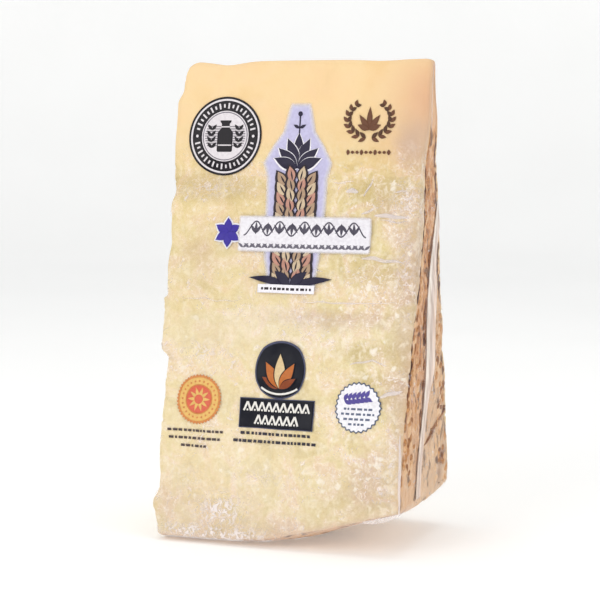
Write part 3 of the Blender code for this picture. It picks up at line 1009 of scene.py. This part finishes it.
class PrintedPiece(Strips):
    # gathers marks, each a grid of x and z on the film, in millimetres, with one of its inks, into one mesh
    def __init__(self, name, inks):
        super().__init__()
        self.name, self.inks = name, inks

    def add(self, grid, ink, layer=0, cover=1.0, edgeInk=None, edgeShare=0.0):
        # a mark so many layers up, its ink mixed with the edge's own by the edge share
        x, z = (values * mm for values in grid)
        proud = printed["firstLayer"] + layer * printed["layer"]
        colour, edge = (np.array(linear(self.inks[name])) for name in (ink, edgeInk or ink))
        share, cover = (np.tile(np.broadcast_to(values, x.shape).ravel(), 2) for values in (edgeShare, cover))
        inks = colour + (edge - colour) * share[:, None]
        outer = frontSkin(x, z, proud + printed["thickness"])
        super().add(outer, frontSkin(x, z, proud), ink=inks, cover=cover)

    def finish(self):
        # the marks so far as one piece of ink
        return self.piece(self.name, printMaterial, "film_print")


def disc(x, z, radiusX, radiusZ, teeth=0, toothDepth=0.0, power=0.5):
    # a square grid pulled out into a disc, its edge waved by a cosine for each tooth
    steps = max(pointsOver(2 * radiusX), 2 * teeth)
    a, b = np.meshgrid(np.linspace(-1, 1, steps + 1), np.linspace(-1, 1, steps + 1), indexing="ij")
    outX, outZ = a * np.sqrt(1 - b * b * power), b * np.sqrt(1 - a * a * power)
    wavy = 1 + toothDepth * np.cos(teeth * np.arctan2(outZ, outX))
    return x + radiusX * outX * wavy, z + radiusZ * outZ * wavy


def pointsOver(length):
    # how many points span this length in millimetres, so that ink lies close on the film's relief
    return 3 + int(length * mm / printed["spacing"])


def stroke(xs, zs, width):
    # a band of this width along a path: the path's points moved to both sides along its normal
    xs, zs = np.asarray(xs, float), np.asarray(zs, float)
    runX, runZ = np.gradient(xs), np.gradient(zs)
    length = np.hypot(runX, runZ)
    side = np.linspace(-0.5, 0.5, pointsOver(np.max(width))) * np.broadcast_to(width, xs.shape)[:, None]
    return xs[:, None] - (runZ / length)[:, None] * side, zs[:, None] + (runX / length)[:, None] * side


def arc(x, z, radius, low, high, width):
    # a stroke along part of a circle, from one direction to another in degrees
    turn = np.radians(np.linspace(low, high, 3 + pointsOver(radius * math.radians(abs(high - low)))))
    return stroke(x + radius * np.cos(turn), z + radius * np.sin(turn), width)


def bar(x, z, length, height, turn=0.0):
    # a straight stroke through its middle, turned by some degrees
    along = np.linspace(-length / 2, length / 2, pointsOver(length))
    angle = math.radians(turn)
    return stroke(x + along * math.cos(angle), z + along * math.sin(angle), height)


def leaf(x, z, length, width, turn, bend=0.0):
    # a pointed blade from its base: half as wide as a sine of its length, and bent to one side
    counts = 5 + pointsOver(length), 2 + pointsOver(width)
    along, side = np.meshgrid(np.linspace(0, 1, counts[0]), np.linspace(-1, 1, counts[1]), indexing="ij")
    half = width / 2 * np.maximum(np.sin(math.pi * along**0.85), 0.04)
    outX, outZ = along * length, side * half + bend * length * along * (1 - along)
    angle = math.radians(turn)
    right, up = math.cos(angle), math.sin(angle)
    return x + outX * right - outZ * up, z + outX * up + outZ * right


def profile(x, z, heights, halves):
    # an upright shape whose half width is read from a short list of heights
    height = np.linspace(min(heights), max(heights), 2 * pointsOver(max(heights) - min(heights)))
    a, b = np.meshgrid(np.linspace(-1, 1, pointsOver(2 * max(halves))), height, indexing="ij")
    return x + a * np.interp(b, heights, halves), z + b


def dashes(piece, low, high, z, height, colour, layer, seed):
    # a row of short bars of uneven length, filling low to high
    draw = np.random.default_rng(seed)
    x = low
    while x < high - 0.5:
        length = min(draw.uniform(0.7, 2.1), high - x)
        piece.add(bar(x + length / 2, z, length, height), colour, layer)
        x += length + draw.uniform(0.45, 0.8)


# The dark round badge: rings, a dial of pale ticks and a churn between two sprigs
badge = {
    "x": 20.6,
    "z": 169.1,
    "dark": "#16121a",
    "pale": "#e6e0e4",
    "grey": "#7d7782",
    "hatch": "#989299",
    "rings": ((16.1, 0.9, "dark"), (12.75, 4.2, "dark"), (10.0, 0.4, "grey")),  # radius, width, ink
    "ticks": 40,
    "churnHeights": (-6.6, -6.1, 1.4, 3.6, 5.2, 6.0, 6.6),
    "churnHalves": (3.1, 3.5, 3.5, 1.8, 1.8, 2.5, 2.5),  # half its width at those heights
}
art = PrintedPiece("roundBadge", badge)
x, z = badge["x"], badge["z"]
art.add(disc(x, z, 16.5, 16.4), "pale", 0)
for radius, width, colour in badge["rings"]:
    for low in range(0, 360, 60):
        art.add(arc(x, z, radius, low, low + 60.5, width), colour, 1)
for tick in range(badge["ticks"]):
    turn = math.radians((tick + 0.5) * 360 / badge["ticks"])
    if abs(math.sin(turn)) > 0.22:
        tall = 2.4 if tick % 2 else 1.5
        spotX, spotZ = x + 12.75 * math.cos(turn), z + 12.75 * math.sin(turn)
        art.add(bar(spotX, spotZ, tall, 0.75, math.degrees(turn)), "pale", 2)
for side in (-1, 1):
    art.add(disc(x + side * 12.75, z, 0.6, 0.6), "pale", 2)
for line in range(9):
    reach = math.sqrt(9.2**2 - (line - 4) ** 2 * 1.2)
    art.add(bar(x, z + (line - 4) * 1.0, 2 * reach, 0.5), "hatch", 1)
art.add(profile(x, z, badge["churnHeights"], badge["churnHalves"]), "dark", 2)
art.add(bar(x, z + 3.9, 4.0, 0.5), "pale", 3)
art.add(bar(x, z - 3.8, 6.2, 0.5), "pale", 3)
for side in (-1, 1):
    for step in range(4):
        base = (x + side * (5.9 + 0.5 * math.sin(step * 0.9)), z - 5.0 + 2.5 * step)
        for out in (50, 130):
            art.add(leaf(*base, 3.1, 1.35, out), "dark", 2)
art.finish()

# The tall label: an ear of grain on a lilac ground, with dark leaves above and below it
label = {
    "x": 54.0,
    "lilac": "#cdc9ea",
    "white": "#f8f5fb",
    "dark": "#221d38",
    "line": "#2e242c",
    "tan": "#b3967c",
    "pink": "#c2907f",
    "sand": "#d3bd9f",
    "groundHeights": (106, 112, 118, 136, 152, 158, 165, 171, 180, 184),
    "groundHalves": (10.5, 10.5, 11.6, 12.6, 12.8, 14.6, 10.8, 6.6, 4.6, 3.0),
    "foot": 105.6,
    "top": 183,
    # the leaves over the ear: height of the base, length, direction and layer
    "crown": (
        (157, 14.0, 90, 2), (156.8, 12.8, 66, 3), (156.8, 12.8, 114, 4), (156.0, 12.4, 42, 5),
        (156.0, 12.4, 138, 6), (155.6, 11.8, 22, 7), (155.6, 11.8, 158, 8),
    ),
    # an ear's grains, to each side: share of the way out, direction, drop and layer
    "grains": ((-1.6, 122, 5.2, 10), (1.6, 58, 5.2, 10), (-0.55, 104, 3.6, 12), (0.55, 76, 3.6, 12)),
}
art = PrintedPiece("tallLabel", label)
x = label["x"]
foot, top = label["foot"], label["top"]
a, b = np.meshgrid(np.linspace(-1, 1, 61), np.linspace(foot, top, 146), indexing="ij")
half = np.interp(b, label["groundHeights"], label["groundHalves"]) + 1
inward = np.minimum((1 - np.abs(a)) * half, np.minimum(b - foot, top - b))
edge = 1 - smooth(inward, 0.4, 2.6)
art.add((x + a * half, b), "lilac", 0, 0.93 * smooth(inward, -0.3, 2.2), "white", edge)
for low, length, turn, layer in label["crown"]:
    art.add(leaf(x, low, length, 5.6, turn), "white", layer)
    art.add(leaf(x, low + 0.3, length - 0.7, 4.6, turn), "dark", layer + 1)
art.add(bar(x, 174.4, 8.4, 0.6, 90), "dark", 3)
art.add(disc(x, 178.4, 1.0, 1.0), "dark", 4)
for side in (-1, 1):
    art.add(leaf(x, 172.4, 3.2, 1.3, 90 - 62 * side), "dark", 3)
for row in range(11):
    height = 153.4 - 4.15 * row
    for side, turn, drop, layer in label["grains"]:
        baseX, baseZ = x + side * 3.1, height - drop
        art.add(leaf(baseX, baseZ, 8.0, 5.2, turn), "line", layer)
        colour = ("tan", "sand", "pink")[(row + int(2 * side)) % 3]
        art.add(leaf(baseX, baseZ + 0.6, 6.5, 3.5, turn), colour, layer + 1)
        art.add(leaf(baseX, baseZ + 1.2, 4.2, 0.7, turn), "line", layer + 2)
for side in (-1, 1):
    art.add(leaf(x + side * 2, 108.4, 16.5, 3.0, 90 - side * 82, side * 0.1), "dark", 15)
    art.add(leaf(x, 108.0, 9, 4.2, 90 - side * 52), "dark", 16)
art.add(bar(52.4, 106.3, 25, 3.5), "white", 17)
dashes(art, 41.5, 63.5, 106.3, 1.0, "line", 18, 3)
art.finish()

# The white banner: a violet rosette, a vine with leaves up and down, and a row of small chevrons
banner = {
    "white": "#f5f2f8",
    "slate": "#514d5c",
    "pale": "#6d6976",
    "violet": "#3d309c",
    "low": 121.9,
    "high": 135.5,
    "left": 30,
    "right": 87.4,
    "vine": (32.0, 130.9, 5.36, 2.9),  # its start, height, the width of half a wave and its rise
}
art = PrintedPiece("whiteBanner", banner)
left, right, low, high = banner["left"], banner["right"], banner["low"], banner["high"]
columns, rows = np.linspace(left - 0.6, right + 0.6, 110), np.linspace(low - 0.9, high + 0.9, 34)
a, b = np.meshgrid(columns, rows, indexing="ij")
fade = between(a, left, right, 0.6) * between(b, low - 0.2, high + 0.2, 0.7)
art.add((a, b), "white", 19, 0.94 * fade)
start, level, step, rise = banner["vine"]
vineX = np.linspace(start, start + 10 * step, 200)
vineZ = level - rise * np.cos((vineX - start) / step * math.pi)
art.add(stroke(vineX, vineZ, 0.55), "slate", 20)
for number in range(9):
    x, up = start + (number + 1) * step, 1 - 2 * (number % 2)
    for lean, length, drop in ((-34, 4.6, 2.092), (0, 5.4, 2.5), (34, 4.6, 2.092)):
        art.add(leaf(x, level - drop * up, length, 1.25, up * 90 + lean), "slate", 20)
for number in range(20):
    x = start + 0.2 + 2.8 * number
    for turn, layer in ((38, 20), (142, 21)):
        art.add(leaf(x, 122.9, 3.0, 1.1, turn), "pale", layer)
for colour, grown, layer in (("white", 0.8, 0), ("violet", 0.0, 6)):
    for petal in range(6):
        grid = leaf(24.4, 128.8, 6.2 + grown, 3.7 + 1.6 * grown, 60 * petal + 30)
        art.add(grid, colour, layer + petal)
art.finish()

# The brown wreath of leaf pairs round a sprig, over a row of lozenges
wreath = {
    "x": 84.3,
    "z": 176.0,
    "acrossBy": 9.4,  # half its width and half its height
    "upBy": 7.6,
    "brown": "#6b432d",
    "dark": "#523322",
    "sprig": ((90, 9.4), (54, 7.6), (126, 7.6), (22, 5.4), (158, 5.4)),  # direction and length of its leaves
}
art = PrintedPiece("leafWreath", wreath)
for side in (-1, 1):
    for step in range(8):
        angle = -90 + side * (8 + 18.5 * step)
        turn = math.radians(angle)
        baseX = wreath["x"] + wreath["acrossBy"] * math.cos(turn)
        baseZ = wreath["z"] + wreath["upBy"] * math.sin(turn)
        length = 3.6 - 0.15 * step
        for out in (-34, 34):
            colour, layer = ("dark", 1) if out * side > 0 else ("brown", 0)
            art.add(leaf(baseX, baseZ, length, 1.6, angle + side * 90 + out), colour, layer)
for layer, (turn, length) in enumerate(wreath["sprig"]):
    art.add(leaf(wreath["x"], wreath["z"] - 4.2, length, 2.4, turn), "brown", layer)
for number in range(10):
    width = 1.3 if number % 3 else 2.2
    art.add(leaf(75.0 + 1.95 * number, 162.6, 1.6, width, 0), "brown", 0)
art.finish()

# The small yellow seal: toothed edge, dotted ring and a sun on a warm red centre
sun = {
    "x": 16.1,
    "z": 59.4,
    "orange": "#d68a4e",
    "yellow": "#e8bb6c",
    "red": "#dc6a50",
    "small": "#544747",
    "rows": ((2.8, 28.4), (3.6, 27.8), (9.2, 21.2)),  # from where to where each row of dashes runs
}
art = PrintedPiece("sunSeal", sun)
x, z = sun["x"], sun["z"]
art.add(disc(x, z, 9.9, 10.0, 44, 0.03), "orange", 0)
art.add(disc(x, z, 8.9, 9.0), "yellow", 1)
for number in range(24):
    turn = math.radians(15 * number)
    art.add(disc(x + 7.5 * math.cos(turn), z + 7.5 * math.sin(turn), 0.42, 0.42), "orange", 2)
art.add(disc(x, z, 6.1, 6.2), "orange", 2)
art.add(disc(x, z, 5.6, 5.7), "red", 3)
for number in range(10):
    art.add(leaf(x, z, 5.0, 1.4, 36 * number), "yellow", 4 + number % 2)
art.add(disc(x, z, 1.9, 1.9), "red", 6)
for row, (low, high) in enumerate(sun["rows"]):
    dashes(art, low, high, 46.4 - 3.1 * row, 1.0, "small", 0, 40 + row)
art.finish()

# The dark panel: a rounded arch with an amber fan of leaves, over a dark plate with pale lozenges
panel = {
    "x": 51.9,
    "dark": "#0b0d1c",
    "slate": "#50536c",
    "amber": "#bf6d33",
    "rust": "#8b4526",
    "sand": "#dfc597",
    "white": "#f1eee8",
    "small": "#3d3942",
    # the fan's leaves: direction, length, width and ink
    "fan": (
        (150, 9.5, 4.4, "rust"), (122, 13.0, 5.4, "amber"), (92, 14.6, 5.4, "sand"),
        (60, 12.6, 5.2, "amber"), (32, 8.8, 4.0, "rust"),
    ),
    "plate": (51.3, 55.2),
    "zigzags": ((9, 38.4, 57.9), (6, 43.4, 52.6)),  # how many points, and where each row starts
    "rows": ((35.9, 66.5), (32.8, 69.6)),
}
art = PrintedPiece("darkPanel", panel)
x = panel["x"]
art.add(disc(x, 73.2, 11.2, 11.8, power=0.46), "slate", 0)
art.add(disc(x, 73.0, 10.6, 11.1, power=0.46), "dark", 1)
for order, (turn, length, width, colour) in enumerate(panel["fan"]):
    art.add(leaf(x, 65.4, length, width, turn), "dark", 2 + 2 * order)
    art.add(leaf(x, 65.6, length - 0.6, width - 0.9, turn), colour, 3 + 2 * order)
art.add(arc(x, 77.6, 14.2, 236, 304, 0.8), "white", 13)
art.add(bar(*panel["plate"], 32.6, 12.3), "slate", 3)
art.add(bar(*panel["plate"], 31.9, 11.6), "dark", 4)
for count, start, spotZ in panel["zigzags"]:
    for number in range(count):
        spotX = start + 3.2 * number
        for side in (-1, 1):
            art.add(bar(spotX + side * 0.78, spotZ, 4.0, 0.85, 90 + side * 22), "white", 5 + (side > 0))
        art.add(disc(spotX, spotZ - 1.5, 0.42, 0.42), "white", 5)
for row, (low, high) in enumerate(panel["rows"]):
    dashes(art, low, high, 46.9 - 3.2 * row, 1.15, "small", 0, 50 + row)
art.finish()

# The white scalloped badge with a violet sprig and rows of small dashes
scallop = {
    "x": 86.2,
    "z": 59.7,
    "edge": "#4d5a78",
    "white": "#f6f5fa",
    "violet": "#5d549e",
    "small": "#68718a",
    "rows": (6.0, 7.0, 5.8, 3.6),  # half the length of each row of dashes
}
art = PrintedPiece("scallopBadge", scallop)
x, z = scallop["x"], scallop["z"]
art.add(disc(x, z, 9.6, 10.0, 28, 0.035), "edge", 0)
art.add(disc(x, z, 9.05, 9.45, 28, 0.035), "white", 1)
for step in range(6):
    baseX, baseZ = x - 6.0 + 1.8 * step, z + 2.6 + 0.3 * step
    for turn, layer in ((62, 2), (-26, 3)):
        art.add(leaf(baseX, baseZ, 3.5, 1.7, turn), "violet", layer)
for row, half in enumerate(scallop["rows"]):
    dashes(art, x - half, x + half, z - 0.7 - 2.0 * row, 0.85, "small", 2, 60 + row)
art.finish()

# Folds of the film that stand up as fine white lines, and the scraps of film below the rim


def foldStrip(xs, heights, width, proud):
    # a low ridge along a path on the printed face, round across and tapered to both ends
    spots = np.linspace(0, 1, 40)
    along = np.linspace(0, 1, len(xs))
    taper = np.sqrt(np.clip(np.sin(math.pi * spots), 0, 1)) + 0.02
    pathX, pathZ = np.interp(spots, along, xs), np.interp(spots, along, heights)
    pathZ = pathZ + 0.35 * swell(pathX, pathZ, 7, 0.6)
    gridX, gridZ = (values * mm for values in stroke(pathX, pathZ, width * taper))
    side = np.linspace(-1, 1, gridX.shape[1])
    outer = frontSkin(gridX, gridZ, 0.05 * mm + proud * mm * (1 - side**2) * taper[:, None])
    return outer, frontSkin(gridX, gridZ, -0.03 * mm)


folds = (  # a path's x values and heights, width and how proud, in millimetres, and how white
    ((88.6, 92.0, 97.0, 103.6), (137.3, 136.7, 136.9, 136.1), 1.7, 0.20, 0.47),
    ((91.0, 95.0, 99.0, 102.6), (135.2, 135.0, 134.6, 134.9), 0.7, 0.12, 0.28),
    ((84.0, 88.5, 94.0, 101.8), (119.9, 119.7, 119.0, 118.5), 1.5, 0.18, 0.43),
    ((58.0, 70.0, 84.0, 99.6), (101.1, 101.4, 101.2, 102.1), 0.6, 0.11, 0.33),
    ((81.5, 86.0, 91.3, 97.6), (76.5, 77.6, 78.5, 76.9), 0.8, 0.12, 0.38),
    ((95.0, 98.0, 101.5, 104.8), (64.2, 65.5, 66.2, 67.6), 1.7, 0.19, 0.47),
    ((75.8, 78.4, 81.2), (146.4, 147.2, 146.8), 1.9, 0.15, 0.47),
    ((87.0, 86.2, 84.4, 83.4), (151.8, 149.2, 146.6, 144.6), 0.8, 0.12, 0.38),
    ((83.0, 85.5, 88.5), (137.4, 138.2, 140.4), 1.0, 0.13, 0.38),
    ((97.0, 99.5, 102.0), (146.8, 147.5, 147.0), 0.9, 0.12, 0.38),
    ((104.7, 105.1, 105.6, 105.8, 106.2), (50.0, 42.0, 34.0, 26.0, 17.0), 1.2, 0.16, 0.5),
    ((5.0, 12.0, 22.0, 33.0), (100.8, 101.3, 100.6, 101.0), 0.5, 0.09, 0.24),
    ((60.8, 64.0, 68.0), (113.9, 114.3, 113.7), 0.7, 0.09, 0.28),
    ((70.0, 74.0, 79.0), (150.4, 150.0, 150.7), 0.7, 0.09, 0.28),
)
ridges = Strips()
for xs, heights, width, proud, white in folds:
    ridges.add(*foldStrip(xs, heights, width, proud), veil=white, frost=0, broken=0)
ridges.piece("filmFolds", filmMaterial, "clear_film")

# The tail: two layers of film welded below the rim's corner, a wavy sheet with a ragged lower edge
tail = {"from": 90.5 * mm, "to": 107.0 * mm, "drop": 3.0 * mm, "thickness": 0.2 * mm}
a, b = np.meshgrid(np.linspace(0, 1, 60), np.linspace(0, 1, 12), indexing="ij")
tailX = tail["from"] + (tail["to"] - tail["from"]) * a
ragged = 0.75 + 0.25 * crumble(np.stack([tailX, 0 * a, 0 * a], axis=-1), 6 * mm, 31)
drop = tail["drop"] * b * ragged * np.sqrt(np.clip(np.sin(math.pi * a), 0, 1))
tailZ = rimEdge(tailX) + 0.8 * mm - drop
billow = 0.5 * mm * crumble(np.stack([tailX, 0 * a, 2 * tailZ], axis=-1), 3.5 * mm, 32)
tailY = -halfThickness(tailZ) + 1.2 * mm + billow
sheet = np.stack([tailX, tailY, tailZ], axis=-1)
scraps = Strips()
scraps.add(sheet - [0, tail["thickness"], 0], sheet, veil=0.22, frost=0.5, broken=0)
scraps.piece("filmTail", filmMaterial, "clear_film")

# Floor, light and camera

floorSettings = {"flat": 1.5, "cove": 0.5, "steps": 96}  # radius of the flat, radius of the turned-up edge
floorMaterial = makeMaterial(
    "paintedStudioFloor",
    [
        ("place", "TexCoord", {}, {}),
        ("speck", "TexNoise", {}, {"Vector": "place.Object", "Scale": 6.0, "Detail": 2.0}),
        ("tone", "ValToRGB", {"ramp": [(0.3, "#f9f9f8"), (0.7, "#fcfcfb")]}, ("speck.Fac",)),
    ],
    {"Base Color": "tone.Color", "Roughness": 0.9, "Emission Color": "#ffffff", "Emission Strength": 0.18},
)

# The floor is lit a little from below, as a light table is. It is round, and its edge turns up in a
# quarter circle: rings of points at each step of its profile
turnSteps = np.linspace(0, math.pi / 2, 17)
flat, cove, steps = floorSettings["flat"], floorSettings["cove"], floorSettings["steps"]
profileOut = np.concatenate([[0.02, 0.3, 0.8], flat + cove * np.sin(turnSteps)])
profileUp = np.concatenate([[0, 0, 0], cove * (1 - np.cos(turnSteps))])
around = np.linspace(0, 2 * math.pi, steps + 1)[:-1]
ringX, ringY = np.outer(profileOut, np.cos(around)), np.outer(profileOut, np.sin(around))
floorPoints = np.stack([ringX, ringY, np.outer(profileUp, np.ones(steps))], axis=-1).reshape(-1, 3)
floorPoints[:steps, :2] = 0
ids = np.arange(len(profileOut) * steps).reshape(-1, steps)
following = np.roll(ids, -1, axis=1)
corners = (ids[:-1], ids[1:], following[1:], following[:-1])
floorQuads = np.stack([corner.ravel() for corner in corners], axis=1)
floorMesh = bpy.data.meshes.new("studioFloor")
floorMesh.from_pydata(floorPoints.tolist(), [], floorQuads.tolist())
floorMesh.shade_smooth()
floorMesh.materials.append(floorMaterial)
studioFloor = bpy.data.objects.new("studioFloor", floorMesh)
bpy.context.scene.collection.objects.link(studioFloor)

camera = {
    "azimuth": 20.5,  # degrees round from the front towards the rind side
    "elevation": 5.76,
    "distance": 730 * mm,
    "target": (-2.08 * mm, 0.15 * mm, 99.65 * mm),
    "focal": 1715.1 / 600,  # focal length as a share of the picture's width
    "sensor": 36.0,
}


def aim(obj, place, target):
    # turns an object's -z to the target, with its x level
    back = np.array(place, float) - np.array(target, float)
    back = back / np.linalg.norm(back)
    right = np.cross([0, 0, 1], back)
    right = right / np.linalg.norm(right)
    up = np.cross(back, right)
    turned = Matrix([[*row, 0] for row in np.stack([right, up, back], axis=1)] + [[0, 0, 0, 1]])
    obj.matrix_world = Matrix.Translation(place) @ turned


azimuth, elevation = math.radians(camera["azimuth"]), math.radians(camera["elevation"])
level = math.cos(elevation)
back = np.array([math.sin(azimuth) * level, -math.cos(azimuth) * level, math.sin(elevation)])
cameraData = bpy.data.cameras.new("photoCamera")
cameraData.sensor_width = camera["sensor"]
cameraData.lens = camera["sensor"] * camera["focal"]
photoCamera = bpy.data.objects.new("photoCamera", cameraData)
bpy.context.scene.collection.objects.link(photoCamera)
aim(photoCamera, np.array(camera["target"]) + back * camera["distance"], camera["target"])
bpy.context.scene.camera = photoCamera

lights = {  # place, size in metres, power in watts, colour
    "keySoftbox": ((-0.55, -1.15, 0.75), 0.9, 4.8, "#fffdf8"),
    "sideSoftbox": ((1.15, -0.35, 0.6), 0.7, 2.2, "#fdfdff"),
    "overheadSoftbox": ((0.0, 0.1, 1.4), 1.0, 4.0, "#fffefb"),
}
for name, (place, size, power, colour) in lights.items():
    lightData = bpy.data.lights.new(name, "AREA")
    lightData.shape = "DISK"
    lightData.size = size
    lightData.energy = power
    lightData.color = linear(colour)[:3]
    light = bpy.data.objects.new(name, lightData)
    bpy.context.scene.collection.objects.link(light)
    aim(light, place, (0, 0, 0.09))

air = {"colour": "#fdfeff", "strength": 0.6}
world = bpy.data.worlds.new("softStudioAir")
world.use_nodes = True
background = world.node_tree.nodes["Background"]
background.inputs["Color"].default_value = linear(air["colour"])
background.inputs["Strength"].default_value = air["strength"]
bpy.context.scene.world = world
bpy.context.scene.view_settings.view_transform = "Standard"
print("floor, light and camera")
